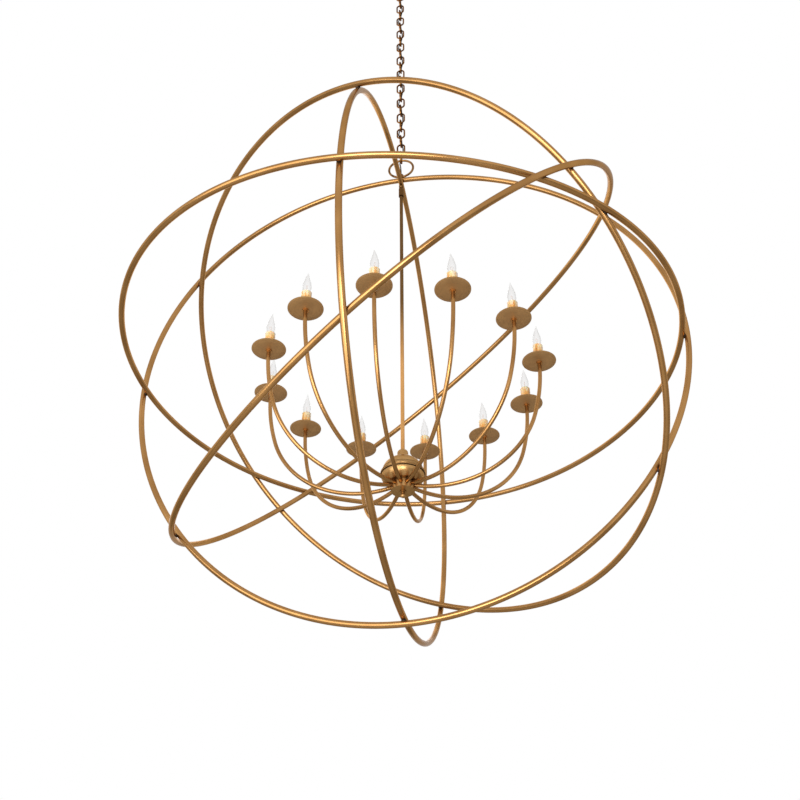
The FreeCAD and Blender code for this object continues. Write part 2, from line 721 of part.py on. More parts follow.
def weld_bead(dim, orb, outer, inner, direction):
    """Bead between two crossing tubes, hollowed to fit round both."""
    middle = direction * ((orb.reach(outer, direction) + orb.reach(inner, direction)) / 2)
    bead = Part.makeSphere(dim.weld_dia.value / 2, middle, direction)
    half = dim.weld_dia.value
    for ring in (outer, inner):
        point, heading = orb.station(ring, orb.angle(ring, direction))
        hollow = Part.makeCylinder(orb.tube / 2 + dim.weld_clearance.value, 2 * half,
                                   point - heading * half, heading)
        bead = bead.cut(hollow)
    return bead


# The stem and the hub.

def make_stem(doc, dim, orb):
    """Stem from under the hub to the upper crossing: a coupling, a bead, then a bored threaded end."""
    foot = hub_foot_drop(dim)
    under_ring = orb.reach("side", Vector(0, 0, 1)) - orb.tube / 2 - dim.running_gap.value
    bead = as_size(under_ring + foot.value) - dim.stem_bead_height
    coupling = bead - dim.coupling_height
    top = as_size(loop_base_height(dim) - orb_height(dim, orb) + foot.value) + dim.nipple_engagement
    radius = dim.stem_dia / 2
    turned(doc, "stem", [
        (0, 0),
        (radius, 0),
        (radius, coupling),
        (dim.coupling_dia / 2, coupling),
        (dim.coupling_dia / 2, bead - dim.coupling_shoulder, dim.coupling_curve, -1),
        (radius, bead, dim.stem_bead_curve, -1),
        (radius, bead + dim.stem_bead_height),
        (dim.nipple_dia / 2, bead + dim.stem_bead_height),
        (dim.nipple_dia / 2, top),
        (dim.nipple_bore / 2, top),
        (dim.nipple_bore / 2, top - dim.stem_bore_depth),
        (0, top - dim.stem_bore_depth),
    ], (0, 0, orb_height(dim, orb) - foot.value))


def dome_foot_drop(dim):
    """Drop from the orb's centre to the foot of the hub's dome."""
    return dim.neck_top_drop + dim.neck_height + dim.dome_height


def drum_drop(dim):
    """Drop from the orb's centre to the top of the drum that gathers the arms."""
    return dome_foot_drop(dim) + rim_height(dim) + dim.bowl_height


def rim_height(dim):
    """Height of the hub's rim: two beads and the groove between them."""
    return dim.rim_bead * 2 + dim.rim_groove


def hub_foot_drop(dim):
    """Drop from the orb's centre to the underside of the drum."""
    return drum_drop(dim) + dim.collector_height


def make_hub(doc, dim, centre):
    """Dome with its neck, bowl with its beaded rim, drum with a seat for each arm, and finial."""
    bore = dim.stem_dia / 2 + dim.running_gap
    full = dim.dome_height + dim.neck_height
    neck = dim.neck_dia / 2
    turned(doc, "hub_dome", [
        (bore, 0),
        (dim.dome_dia / 2, 0),
        (dim.dome_dia / 2, dim.dome_foot_height),
        (dim.dome_dia / 2 - dim.dome_step, dim.dome_foot_height, dim.dome_curve, -1),
        (neck, dim.dome_height),
        (neck, full - dim.neck_curve, dim.neck_curve, -1),
        (neck - dim.neck_curve, full),
        (bore, full),
    ], (0, 0, centre - dome_foot_drop(dim).value))
    groove = dim.rim_dia / 2 - dim.rim_relief
    upper = dim.bowl_height + dim.rim_bead + dim.rim_groove
    turned(doc, "hub_bowl", [
        (bore, 0),
        (dim.bowl_foot_dia / 2, 0, dim.bowl_curve, -1),
        (dim.bowl_mouth_dia / 2, dim.bowl_height),
        (groove, dim.bowl_height, dim.rim_bead_curve, -1),
        (groove, dim.bowl_height + dim.rim_bead),
        (groove, upper, dim.rim_bead_curve, -1),
        (groove, upper + dim.rim_bead),
        (bore, upper + dim.rim_bead),
    ], (0, 0, centre - drum_drop(dim).value))
    make_drum(doc, dim, centre)
    neck_top = dim.finial_height - dim.finial_flange_height
    ball = dim.finial_dia / 2
    ball_top = ball + as_size(math.sqrt(ball.value ** 2 - (dim.finial_neck_dia.value / 2) ** 2))
    turned(doc, "finial", [
        (0, 0, ball, -1),
        (dim.finial_neck_dia / 2, ball_top),
        (dim.finial_neck_dia / 2, neck_top),
        (dim.finial_flange_dia / 2, neck_top),
        (dim.finial_flange_dia / 2, dim.finial_height),
        (0, dim.finial_height),
    ], (0, 0, centre - (hub_foot_drop(dim) + dim.finial_height).value))


def make_drum(doc, dim, centre):
    """Drum under the bowl with a sloping round seat for each arm."""
    height = dim.collector_height.value
    gap = dim.running_gap.value
    radius = dim.collector_dia.value / 2
    foot = Vector(0, 0, -hub_foot_drop(dim).value)
    drum = Part.makeCylinder(radius, height, foot)
    drum = drum.cut(Part.makeCylinder(dim.stem_dia.value / 2 + gap, height, foot))
    start, heading = arm_start(dim)
    depth = 2 * dim.arm_socket_depth.value
    seats = []
    for angle in arm_angles(dim):
        seat = Part.makeCylinder(dim.arm_tube.value / 2 + gap, depth, start - heading * gap, heading)
        seat.rotate(Vector(0, 0, 0), Vector(0, 0, 1), angle)
        seats.append(seat)
    feature(doc, "arm_drum", drum.cut(seats), FreeCAD.Placement(Vector(0, 0, centre), FreeCAD.Rotation()))


# The arms, pans, candles and lamps.

def arm_angles(dim):
    """Directions of the arms, evenly spread."""
    count = int(dim.arm_count.value)
    return [360 / count * index for index in range(count)]


def arm_start(dim):
    """Inner end of an arm's axis in the XZ plane from the orb's centre, and its heading there."""
    dip = math.radians(dim.arm_dip_angle.value)
    heading = Vector(math.cos(dip), 0, -math.sin(dip))
    face = Vector(dim.collector_dia.value / 2, 0, -(drum_drop(dim) + dim.arm_socket_drop).value)
    return face - heading * (dim.arm_socket_depth.value / math.cos(dip)), heading


def arm_path(dim):
    """An arm's axis in the XZ plane: a lower bend up from the drum, then a longer one to upright."""
    start, heading = arm_start(dim)
    dip = math.radians(dim.arm_dip_angle.value)
    knee = math.radians(dim.arm_knee_angle.value)
    end = Vector(dim.arm_reach.value, 0, -(dim.pan_drop + dim.pan_nut_height - dim.arm_seat_depth).value)
    across, up = end.x - start.x, end.z - start.z
    lower, upper = solve([[math.sin(knee) + math.sin(dip), 1 - math.sin(knee)],
                          [math.cos(dip) - math.cos(knee), math.cos(knee)]], [across, up])
    joint = start + Vector(lower * (math.sin(knee) + math.sin(dip)), 0,
                           lower * (math.cos(dip) - math.cos(knee)))
    rising = Vector(math.cos(knee), 0, math.sin(knee))
    return [arc_onward(start, heading, joint), arc_onward(joint, rising, end)]


def make_arms(doc, dim, centre):
    """Each arm with the nut on its upper end and the drip pan on the nut."""
    gap = dim.running_gap
    seat = (dim.arm_tube / 2 + gap)
    nut = turned(doc, "pan_nut", [
        (seat, 0),
        (dim.pan_nut_dia / 2, 0),
        (dim.pan_nut_dia / 2, dim.pan_nut_height),
        (0, dim.pan_nut_height),
        (0, dim.arm_seat_depth),
        (seat, dim.arm_seat_depth),
    ], (0, 0, 0))
    brim = (dim.pan_dia - dim.pan_floor_dia) / 2
    bend = (brim * brim / dim.pan_rise + dim.pan_rise) / 2
    pan = turned(doc, "drip_pan", [
        (dim.pan_hole / 2, 0),
        (dim.pan_floor_dia / 2, 0, bend, -1),
        (dim.pan_dia / 2, dim.pan_rise),
        (dim.pan_dia / 2, dim.pan_rise + dim.pan_wall, bend, 1),
        (dim.pan_floor_dia / 2, dim.pan_wall),
        (dim.pan_hole / 2, dim.pan_wall),
    ], (0, 0, 0))
    del pieces[-2:]
    doc.recompute()
    bar = tube(arm_path(dim), dim.arm_tube.value)
    seat_height = -dim.pan_drop.value
    pan_shape = pan.Shape.copy()
    pan_shape.translate(Vector(dim.arm_reach.value, 0, seat_height))
    nut_shape = nut.Shape.copy()
    nut_shape.translate(Vector(dim.arm_reach.value, 0, seat_height - dim.pan_nut_height.value))
    arm = Part.makeCompound([bar, nut_shape, pan_shape])
    for number, angle in enumerate(arm_angles(dim), start=1):
        place = FreeCAD.Placement(Vector(0, 0, centre), FreeCAD.Rotation(Vector(0, 0, 1), angle))
        feature(doc, f"arm_{number:02d}", arm, place)


def make_candles(doc, dim, centre):
    """A candle sleeve with its lamp socket on each pan, and a flame-shaped lamp in each socket."""
    outside = dim.sleeve_dia / 2
    inside = outside - dim.sleeve_wall
    socket = dim.socket_dia / 2
    socket_top = dim.sleeve_height - dim.socket_recess
    bore = dim.lamp_base_dia / 2 + dim.lamp_fit
    bore_foot = socket_top - dim.socket_bore_depth
    base = dim.lamp_base_dia / 2
    lamp_foot = socket_top - dim.lamp_base_length
    glass_foot = socket_top + dim.lamp_fit - lamp_foot
    swell = glass_foot + dim.bulb_swell
    tip = dim.bulb_length + dim.sleeve_height - lamp_foot
    neck = dim.bulb_neck_dia / 2
    widest = dim.bulb_dia / 2
    for number, angle in enumerate(arm_angles(dim), start=1):
        x = dim.arm_reach * math.cos(math.radians(angle))
        y = dim.arm_reach * math.sin(math.radians(angle))
        seat = centre - (dim.pan_drop - dim.pan_wall).value
        turned(doc, f"candle_{number:02d}", [
            (0, 0),
            (outside, 0),
            (outside, dim.sleeve_height),
            (inside, dim.sleeve_height),
            (inside, dim.sleeve_wall),
            (socket, dim.sleeve_wall),
            (socket, socket_top),
            (bore, socket_top),
            (bore, bore_foot),
            (0, bore_foot),
        ], (x, y, seat))
        turned(doc, f"lamp_{number:02d}", [
            (0, 0),
            (base, 0),
            (base, glass_foot),
            (neck, glass_foot, dim.bulb_swell * 1.2, -1),
            (widest, swell, dim.bulb_length * 1.2, -1),
            (dim.bulb_tip_dia / 2, tip),
            (0, tip),
        ], (x, y, seat + lamp_foot.value))


def faulty(piece):
    """What is wrong with a sub-part, or an empty string."""
    if "Invalid" in piece.State or "Error" in piece.State:
        return "state " + " ".join(piece.State)
    if piece.Shape.isNull() or not piece.Shape.isValid():
        return "no valid shape"
    if not piece.Shape.Solids:
        return "no solid"
    return ""


def main():
    """Build the chandelier and write one file for each sub-part."""
    os.makedirs(OUT_DIR, exist_ok=True)
    doc = FreeCAD.newDocument("orb_chandelier")
    dim = make_sheet(doc)
    orb = Orb(dim)
    centre = orb_height(dim, orb)
    make_canopy(doc, dim)
    make_strap(doc, dim)
    make_canopy_nipple(doc, dim)
    make_canopy_loop(doc, dim)
    make_chain(doc, dim)
    make_cord(doc, dim)
    make_hanging_loop(doc, dim)
    make_rings(doc, dim, orb)
    make_stem(doc, dim, orb)
    make_hub(doc, dim, centre)
    make_arms(doc, dim, centre)
    make_candles(doc, dim, centre)
    doc.recompute()
    faults = [f"{piece.Label}: {faulty(piece)}" for piece in doc.Objects
              if hasattr(piece, "Shape") and "Error" in piece.State]
    faults += [f"{piece.Label}: {faulty(piece)}" for piece in pieces if faulty(piece)]
    if faults:
        raise RuntimeError("; ".join(faults))
    for piece in pieces:
        piece.Shape.exportStep(os.path.join(OUT_DIR, piece.Label + ".step"))
    print(len(pieces), "sub-parts, orb centre at", round(centre, 2))


main()
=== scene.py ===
import math

import bpy
import numpy as np
from mathutils import Matrix, Vector


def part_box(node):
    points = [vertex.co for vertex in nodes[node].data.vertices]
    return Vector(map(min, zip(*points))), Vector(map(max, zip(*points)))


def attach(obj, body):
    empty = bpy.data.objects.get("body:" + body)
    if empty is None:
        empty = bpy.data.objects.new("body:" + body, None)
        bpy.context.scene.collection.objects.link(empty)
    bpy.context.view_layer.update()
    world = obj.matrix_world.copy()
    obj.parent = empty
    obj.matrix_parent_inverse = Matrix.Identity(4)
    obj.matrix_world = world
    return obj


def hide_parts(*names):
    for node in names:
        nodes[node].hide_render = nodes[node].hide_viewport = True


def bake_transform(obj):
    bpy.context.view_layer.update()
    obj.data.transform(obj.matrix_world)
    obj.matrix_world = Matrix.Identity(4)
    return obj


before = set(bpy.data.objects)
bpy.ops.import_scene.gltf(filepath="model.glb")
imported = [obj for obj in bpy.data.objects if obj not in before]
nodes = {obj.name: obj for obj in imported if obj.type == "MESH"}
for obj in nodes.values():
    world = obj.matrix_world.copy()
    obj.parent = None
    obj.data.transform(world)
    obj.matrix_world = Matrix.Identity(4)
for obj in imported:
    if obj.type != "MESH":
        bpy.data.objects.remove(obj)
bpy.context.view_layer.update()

# Places and sizes in the row frame, in metres.

DOME_FOOT_DROP = 0.418
PAN_SEAT_DROP = 0.0495
CENTRE = Vector((0, 0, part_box("hub_dome")[0].z + DOME_FOOT_DROP))
RING_RADIUS = 0.905
TUBE_RADIUS = 0.0095
ARM_COUNT = 12
ARM_REACH = 0.449
PAN_SEAT = CENTRE.z - PAN_SEAT_DROP
SLEEVE_HEIGHT = 0.066


# The camera stands below the orb and looks up at it. Its place counts in ring radii.

CAMERA_AZIMUTH = math.radians(10.4)
CAMERA_OUT = 2.905
CAMERA_DROP = 2.303
CAMERA_YAW = 0.003
CAMERA_PITCH = 0.637
CAMERA_ROLL = -0.004
SENSOR_WIDTH = 36
FOCAL_PIXELS = 1010
PICTURE_PIXELS = 800


def place_camera():
    heading = CAMERA_AZIMUTH + CAMERA_YAW
    offset = Vector((CAMERA_OUT * math.sin(CAMERA_AZIMUTH), -CAMERA_OUT * math.cos(CAMERA_AZIMUTH),
                     -CAMERA_DROP)) * RING_RADIUS
    forward = Vector((-math.sin(heading) * math.cos(CAMERA_PITCH),
                      math.cos(heading) * math.cos(CAMERA_PITCH), math.sin(CAMERA_PITCH)))
    level = Vector((math.cos(heading), math.sin(heading), 0))
    up = level.cross(forward)
    right = level * math.cos(CAMERA_ROLL) + up * math.sin(CAMERA_ROLL)
    up = right.cross(forward)
    turn = Matrix((right, up, -forward)).transposed().to_4x4()
    data = bpy.data.cameras.new("camera")
    data.sensor_width = SENSOR_WIDTH
    data.lens = SENSOR_WIDTH * FOCAL_PIXELS / PICTURE_PIXELS
    data.clip_start = 0.05
    data.clip_end = 100
    camera = bpy.data.objects.new("camera", data)
    bpy.context.scene.collection.objects.link(camera)
    camera.matrix_world = Matrix.Translation(CENTRE + offset) @ turn
    bpy.context.scene.camera = camera


place_camera()


# Mesh helpers.

def add_object(name, mesh, body=None, material=None, place=None):
    """Object in the scene, at a place, with one material all over, riding on a body."""
    piece = bpy.data.objects.new(name, mesh)
    bpy.context.scene.collection.objects.link(piece)
    if place is not None:
        piece.matrix_world = place
    if material is not None:
        mesh.materials.clear()
        mesh.materials.append(material)
    if body is not None:
        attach(piece, body)
    return piece


def make_mesh(name, points, faces, smooth=True):
    mesh = bpy.data.meshes.new(name)
    mesh.from_pydata([tuple(point) for point in points], [], faces)
    mesh.update()
    if smooth:
        mesh.polygons.foreach_set("use_smooth", [True] * len(mesh.polygons))
    return mesh


def loft_faces(rows, width, closed=False):
    """Quads between rows of points, joined round each row, with end caps unless closed on itself."""
    faces = []
    last = rows if closed else rows - 1
    for row in range(last):
        following = (row + 1) % rows
        for column in range(width):
            beside = (column + 1) % width
            faces.append((row * width + column, row * width + beside,
                          following * width + beside, following * width + column))
    if not closed:
        faces.append(tuple(reversed(range(width))))
        faces.append(tuple(range((rows - 1) * width, rows * width)))
    return faces


def turn_angles(sides):
    """Angles of a full turn's even steps."""
    return [2 * math.pi * side / sides for side in range(sides)]


def tube_mesh(name, centres, radius, sides, closed=False):
    """Round tube along points, with a frame that turns as little as it can."""
    centres = [Vector(point) for point in centres]
    count = len(centres)
    points = []
    across = None
    for index, centre in enumerate(centres):
        if closed:
            onward = centres[(index + 1) % count] - centres[index - 1]
        else:
            onward = centres[min(index + 1, count - 1)] - centres[max(index - 1, 0)]
        onward.normalize()
        if across is None:
            across = onward.orthogonal().normalized()
        across = (across - onward * across.dot(onward)).normalized()
        other = onward.cross(across)
        for angle in turn_angles(sides):
            points.append(centre + (across * math.cos(angle) + other * math.sin(angle)) * radius)
    return make_mesh(name, points, loft_faces(count, sides, closed))


def lathe_mesh(name, outline, sides):
    """Surface of revolution about Z through (radius, height) points; a zero radius makes a pole."""
    points = []
    for radius, height in outline:
        radius = max(radius, 1e-5)
        for angle in turn_angles(sides):
            points.append((radius * math.cos(angle), radius * math.sin(angle), height))
    return make_mesh(name, points, loft_faces(len(outline), sides))


def smooth_points(points, steps):
    """More points along a line, on a Catmull-Rom curve through its own, without its last one."""
    found = []
    count = len(points)
    for index in range(count - 1):
        corners = [np.array(points[min(max(index + shift, 0), count - 1)], float)
                   for shift in (-1, 0, 1, 2)]
        for step in range(steps):
            part = step / steps
            slope = corners[2] - corners[0]
            bend = 2 * corners[0] - 5 * corners[1] + 4 * corners[2] - corners[3]
            twist = 3 * corners[1] - corners[0] - 3 * corners[2] + corners[3]
            found.append(0.5 * (2 * corners[1] + slope * part + bend * part ** 2 + twist * part ** 3))
    return found


# Shader helpers.

MIX_SOCKETS = {"RGBA": (6, 7, 2), "FLOAT": (2, 3, 0)}


def shader(name, **numbers):
    """New material with its tree and its surface, whose sockets take the numbers."""
    material = bpy.data.materials.new(name)
    material.use_nodes = True
    tree = material.node_tree
    surface = tree.nodes["Principled BSDF"]
    for key, value in numbers.items():
        surface.inputs[key.replace("_", " ").title()].default_value = value
    return material, tree, surface


def add_node(tree, kind, **values):
    made = tree.nodes.new(kind)
    for key, value in values.items():
        if key in made.inputs:
            made.inputs[key].default_value = value
        else:
            setattr(made, key, value)
    return made


def feed(tree, socket, value):
    """Link a socket to another one, or give it a number or a colour of its own."""
    if isinstance(value, bpy.types.NodeSocket):
        tree.links.new(value, socket)
    else:
        socket.default_value = value


def calculate(tree, operation, *terms):
    """Result of one sum on sockets or plain numbers."""
    made = add_node(tree, "ShaderNodeMath", operation=operation)
    for socket, term in zip(made.inputs, terms):
        feed(tree, socket, term)
    return made.outputs["Value"]


def map_range(tree, value, source, target=(0, 1), shape="LINEAR"):
    """A value's place between two ends, moved to the same place between two others."""
    made = add_node(tree, "ShaderNodeMapRange", interpolation_type=shape)
    made.inputs["From Min"].default_value, made.inputs["From Max"].default_value = source
    made.inputs["To Min"].default_value, made.inputs["To Max"].default_value = target
    tree.links.new(value, made.inputs["Value"])
    return made.outputs["Result"]


def mix(tree, share, first, second, kind="RGBA"):
    """The first value where the share is none, the second where it is whole."""
    made = add_node(tree, "ShaderNodeMix", data_type=kind)
    first_place, second_place, result_place = MIX_SOCKETS[kind]
    feed(tree, made.inputs[0], share)
    feed(tree, made.inputs[first_place], first)
    feed(tree, made.inputs[second_place], second)
    return made.outputs[result_place]


def ramp(tree, value, stops):
    """Colour that a value picks from (position, colour) stops."""
    made = add_node(tree, "ShaderNodeValToRGB")
    elements = made.color_ramp.elements
    while len(elements) < len(stops):
        elements.new(0.5)
    for element, (position, colour) in zip(elements, stops):
        element.position = position
        element.color = (*colour, 1)
    tree.links.new(value, made.inputs["Fac"])
    return made.outputs["Color"]


def bump(tree, surface, height, strength, distance=0.0002):
    made = add_node(tree, "ShaderNodeBump", Strength=strength, Distance=distance)
    tree.links.new(height, made.inputs["Height"])
    tree.links.new(made.outputs["Normal"], surface.inputs["Normal"])


def noise(tree, scale, detail=3.0, stretch=(1, 1, 1)):
    """Noise in the object's own coordinates, stretched along one or more of its axes."""
    place = add_node(tree, "ShaderNodeTexCoord")
    mapping = add_node(tree, "ShaderNodeMapping", Scale=stretch)
    tree.links.new(place.outputs["Object"], mapping.inputs["Vector"])
    made = add_node(tree, "ShaderNodeTexNoise", Scale=scale, Detail=detail)
    tree.links.new(mapping.outputs["Vector"], made.inputs["Vector"])
    return made.outputs["Fac"]


def object_axes(tree):
    """X, Y and Z in the object's own coordinates."""
    place = add_node(tree, "ShaderNodeTexCoord")
    split = add_node(tree, "ShaderNodeSeparateXYZ")
    tree.links.new(place.outputs["Object"], split.inputs["Vector"])
    return tuple(split.outputs)


def flat_length(tree, x, y):
    """Length of the vector with these two parts."""
    flat = add_node(tree, "ShaderNodeCombineXYZ")
    tree.links.new(x, flat.inputs["X"])
    tree.links.new(y, flat.inputs["Y"])
    made = add_node(tree, "ShaderNodeVectorMath", operation="LENGTH")
    tree.links.new(flat.outputs["Vector"], made.inputs["Vector"])
    return made.outputs["Value"]


def seen_directly(tree):
    """One for the rays of the eye and those that metal or glass send on, none for spread light."""
    rays = add_node(tree, "ShaderNodeLightPath").outputs
    eye_or_gloss = calculate(tree, "MAXIMUM", rays["Is Camera Ray"], rays["Is Glossy Ray"])
    return calculate(tree, "MAXIMUM", eye_or_gloss, rays["Is Transmission Ray"])


# The metal: gold lacquer over brown glaze, rubbed back by hand, with painted shade in its hollows.

# Dark brown of the hollows: painted shade, together with the glaze left there.
HOLLOW_SHADE_GLAZE = (0.035, 0.016, 0.006, 1)
# Dark of the thin lines round the hub: painted shade in its grooves.
GROOVE_SHADE = (0.045, 0.022, 0.008, 1)


def hollow_shade_and_glaze(tree, tone, reach):
    """Dark brown in grooves, seats and crossings, found by ambient occlusion: painted shade where shade
    falls there, together with the glaze that the rubbing leaves.
    """
    hollow = add_node(tree, "ShaderNodeAmbientOcclusion", samples=8, Distance=reach)
    return mix(tree, map_range(tree, hollow.outputs["AO"], (0.30, 0.72)), HOLLOW_SHADE_GLAZE, tone)


def lacquered_metal(name, dark, mid, light, metallic=0.88, rough=(0.19, 0.25), mottle=9, fine=700,
                    edge=(0.54, 0.45, 0.37), reach=0.014, grain=(1, 1, 1), relief=0.015):
    """Soft tone changes, fine grain, uneven gloss, and painted shade with glaze in the hollows."""
    material, tree, surface = shader(name, metallic=metallic, specular_tint=(*edge, 1))
    tone = ramp(tree, noise(tree, mottle, 1.0), [(0.30, dark), (0.52, mid), (0.74, light)])
    tree.links.new(hollow_shade_and_glaze(tree, tone, reach), surface.inputs["Base Color"])
    gloss = map_range(tree, noise(tree, 2 * mottle, 1.0), (0.3, 0.7), rough)
    tree.links.new(gloss, surface.inputs["Roughness"])
    bump(tree, surface, noise(tree, fine, 2.0, grain), relief)
    return material


def pan_distance(tree):
    """Distance from the upright axis of the nearest drip pan: the pans stand in a ring, evenly apart."""
    x, y, _ = object_axes(tree)
    apart = calculate(tree, "PINGPONG", calculate(tree, "ARCTAN2", y, x), math.pi / ARM_COUNT)
    out = flat_length(tree, x, y)
    along = calculate(tree, "MULTIPLY_ADD", out, calculate(tree, "COSINE", apart), -ARM_REACH)
    beside = calculate(tree, "MULTIPLY", out, calculate(tree, "SINE", apart))
    return flat_length(tree, along, beside)


def lit_matt_above(material, height, dark, light):
    """Give a metal a paler, duller face over a height: the spun drip pans, with their turning marks. The
    paler tone is partly painted light on the pans' downward faces, which only the floor lights.
    """
    tree = material.node_tree
    surface = tree.nodes["Principled BSDF"]
    over = calculate(tree, "GREATER_THAN", object_axes(tree)[2], height)
    turning = add_node(tree, "ShaderNodeTexNoise", noise_dimensions="1D", Scale=260, Detail=3.0)
    tree.links.new(pan_distance(tree), turning.inputs["W"])
    cloud = calculate(tree, "MULTIPLY", noise(tree, 22, 2.0), 0.5)
    marks = calculate(tree, "MULTIPLY_ADD", turning.outputs["Fac"], 0.5, cloud)
    lit_pale = ramp(tree, marks, [(0.36, dark), (0.64, light)])
    for name, kind, value in (("Base Color", "RGBA", lit_pale), ("Metallic", "FLOAT", 0.45),
                              ("Roughness", "FLOAT", 0.45)):
        socket = surface.inputs[name]
        below = socket.links[0].from_socket if socket.is_linked else socket.default_value
        tree.links.new(mix(tree, over, below, value, kind), socket)


def painted_light_by_height(material, low, high, scale_below, scale_above):
    """Painted light and shade over a height: the base colour scaled by one factor below and by another
    above.
    """
    tree = material.node_tree
    colour = tree.nodes["Principled BSDF"].inputs["Base Color"]
    depth = map_range(tree, object_axes(tree)[2], (low, high), (scale_below, scale_above), "SMOOTHSTEP")
    toned = add_node(tree, "ShaderNodeVectorMath", operation="SCALE")
    tree.links.new(colour.links[0].from_socket, toned.inputs["Vector"])
    tree.links.new(depth, toned.inputs["Scale"])
    tree.links.new(toned.outputs["Vector"], colour)


def groove_shade_lines(material, heights, half_width):
    """Painted shade: dark thin lines round a turned piece, at the heights of its grooves, where shade
    falls in them.
    """
    tree = material.node_tree
    colour = tree.nodes["Principled BSDF"].inputs["Base Color"]
    z = object_axes(tree)[2]
    for height in heights:
        distance = calculate(tree, "ABSOLUTE", calculate(tree, "SUBTRACT", z, height))
        clear = map_range(tree, distance, (half_width * 0.7, half_width))
        tree.links.new(mix(tree, clear, GROOVE_SHADE, colour.links[0].from_socket), colour)


PAN_FOOT = PAN_SEAT - 0.0018
NUT_FOOT = PAN_SEAT - 0.0095
NUT_EDGE = PAN_SEAT - 0.0085
FINE_GROOVES = CENTRE.z - 0.409, CENTRE.z - 0.4132
BROAD_GROOVES = CENTRE.z - 0.4183, CENTRE.z - 0.4277
RING_TONES = (0.34, 0.173, 0.058), (0.40, 0.209, 0.072), (0.46, 0.245, 0.088)

gold = lacquered_metal("antique_gold", *RING_TONES)

stem_gold = lacquered_metal("stem_gold", *RING_TONES)
# Painted light and shade: the stem 1.7 times brighter low down, darkening to about a third towards its
# top.
painted_light_by_height(stem_gold, CENTRE.z - 0.05, CENTRE.z + 0.34, 1.7, 0.36)

arm_gold = lacquered_metal("arm_gold", (0.33, 0.167, 0.056), (0.39, 0.203, 0.070), (0.45, 0.239, 0.085),
                           reach=0.005)
# Painted light: the nut under each pan 1.7 times brighter, where the pan shades it.
painted_light_by_height(arm_gold, NUT_FOOT, NUT_EDGE, 1, 1.7)
# The pans' matt finish and turning marks are their own; their paler tone is partly painted light.
lit_matt_above(arm_gold, PAN_FOOT, (0.37, 0.206, 0.082), (0.48, 0.272, 0.108))

# The hub's tones, a lighter copy of the ring gold: painted light for its brightly lit bowl.
hub_gold = lacquered_metal("hub_gold", (0.37, 0.204, 0.074), (0.44, 0.248, 0.093), (0.51, 0.292, 0.112),
                           metallic=0.85, rough=(0.26, 0.32), fine=320, reach=0.010,
                           grain=(0.03, 0.03, 1), relief=0.06)
# Painted shade along the dome's fine grooves and the rim bead's edges.
groove_shade_lines(hub_gold, FINE_GROOVES, 0.0011)
groove_shade_lines(hub_gold, BROAD_GROOVES, 0.0018)

dark_gold = lacquered_metal("aged_gold", (0.12, 0.056, 0.018), (0.24, 0.118, 0.039), (0.38, 0.20, 0.072),
                            mottle=45)
chain_gold = lacquered_metal("chain_bronze", (0.06, 0.025, 0.006), (0.18, 0.078, 0.022),
                             (0.46, 0.210, 0.062), metallic=0.95, rough=(0.22, 0.36), mottle=60,
                             edge=(0.30, 0.20, 0.12), reach=0.007)
steel = lacquered_metal("fitting_steel", (0.48, 0.48, 0.47), (0.56, 0.56, 0.55), (0.64, 0.64, 0.63),
                        metallic=1.0, mottle=40, edge=(0.8, 0.8, 0.8))


# The other materials.

# Nearly black, rough finish of the weld beads at the ring crossings.
def dark_weld_finish():
    material, tree, surface = shader("weld_dark", metallic=0.6, roughness=0.55)
    tone = ramp(tree, noise(tree, 300), [(0.35, (0.012, 0.008, 0.006)), (0.65, (0.07, 0.04, 0.02))])
    tree.links.new(tone, surface.inputs["Base Color"])
    bump(tree, surface, noise(tree, 900), 0.5, 0.0005)
    return material


def cord_jacket():
    material, tree, surface = shader("cord_jacket", roughness=0.7)
    surface.inputs["Specular IOR Level"].default_value = 0.2
    tone = ramp(tree, noise(tree, 90), [(0.3, (0.013, 0.007, 0.004)), (0.7, (0.034, 0.019, 0.011))])
    tree.links.new(tone, surface.inputs["Base Color"])
    bump(tree, surface, noise(tree, 1500, 1.0, (1, 1, 0.2)), 0.2)
    return material


def candle_wax():
    """Amber candle cover: pale where it is thin at the top, darker in the streaks down its side."""
    material, tree, surface = shader("candle_wax", roughness=0.42, subsurface_weight=0.25,
                                     subsurface_radius=(0.006, 0.003, 0.001), subsurface_scale=0.6)
    rise = map_range(tree, object_axes(tree)[2], (0.030, SLEEVE_HEIGHT))
    streak = noise(tree, 120, 2.0, (1, 1, 0.10))
    tone = ramp(tree, calculate(tree, "MULTIPLY_ADD", rise, 0.30, streak),
                [(0.36, (0.50, 0.18, 0.03)), (0.50, (0.72, 0.33, 0.075)),
                 (0.64, (0.83, 0.47, 0.15)), (0.84, (0.92, 0.76, 0.50))])
    tree.links.new(tone, surface.inputs["Base Color"])
    bump(tree, surface, streak, 0.2, 0.0005)
    return material


def plain(name, colour, rough, metallic=0.0, grain=300, spread=0.12):
    """Nearly even finish, with a little spread of tone and a fine relief."""
    material, tree, surface = shader(name, roughness=rough, metallic=metallic)
    darker = tuple(value * (1 - spread) for value in colour)
    lighter = tuple(min(1, value * (1 + spread)) for value in colour)
    tone = ramp(tree, noise(tree, grain), [(0.35, darker), (0.65, lighter)])
    tree.links.new(tone, surface.inputs["Base Color"])
    bump(tree, surface, noise(tree, grain * 3), 0.1)
    return material


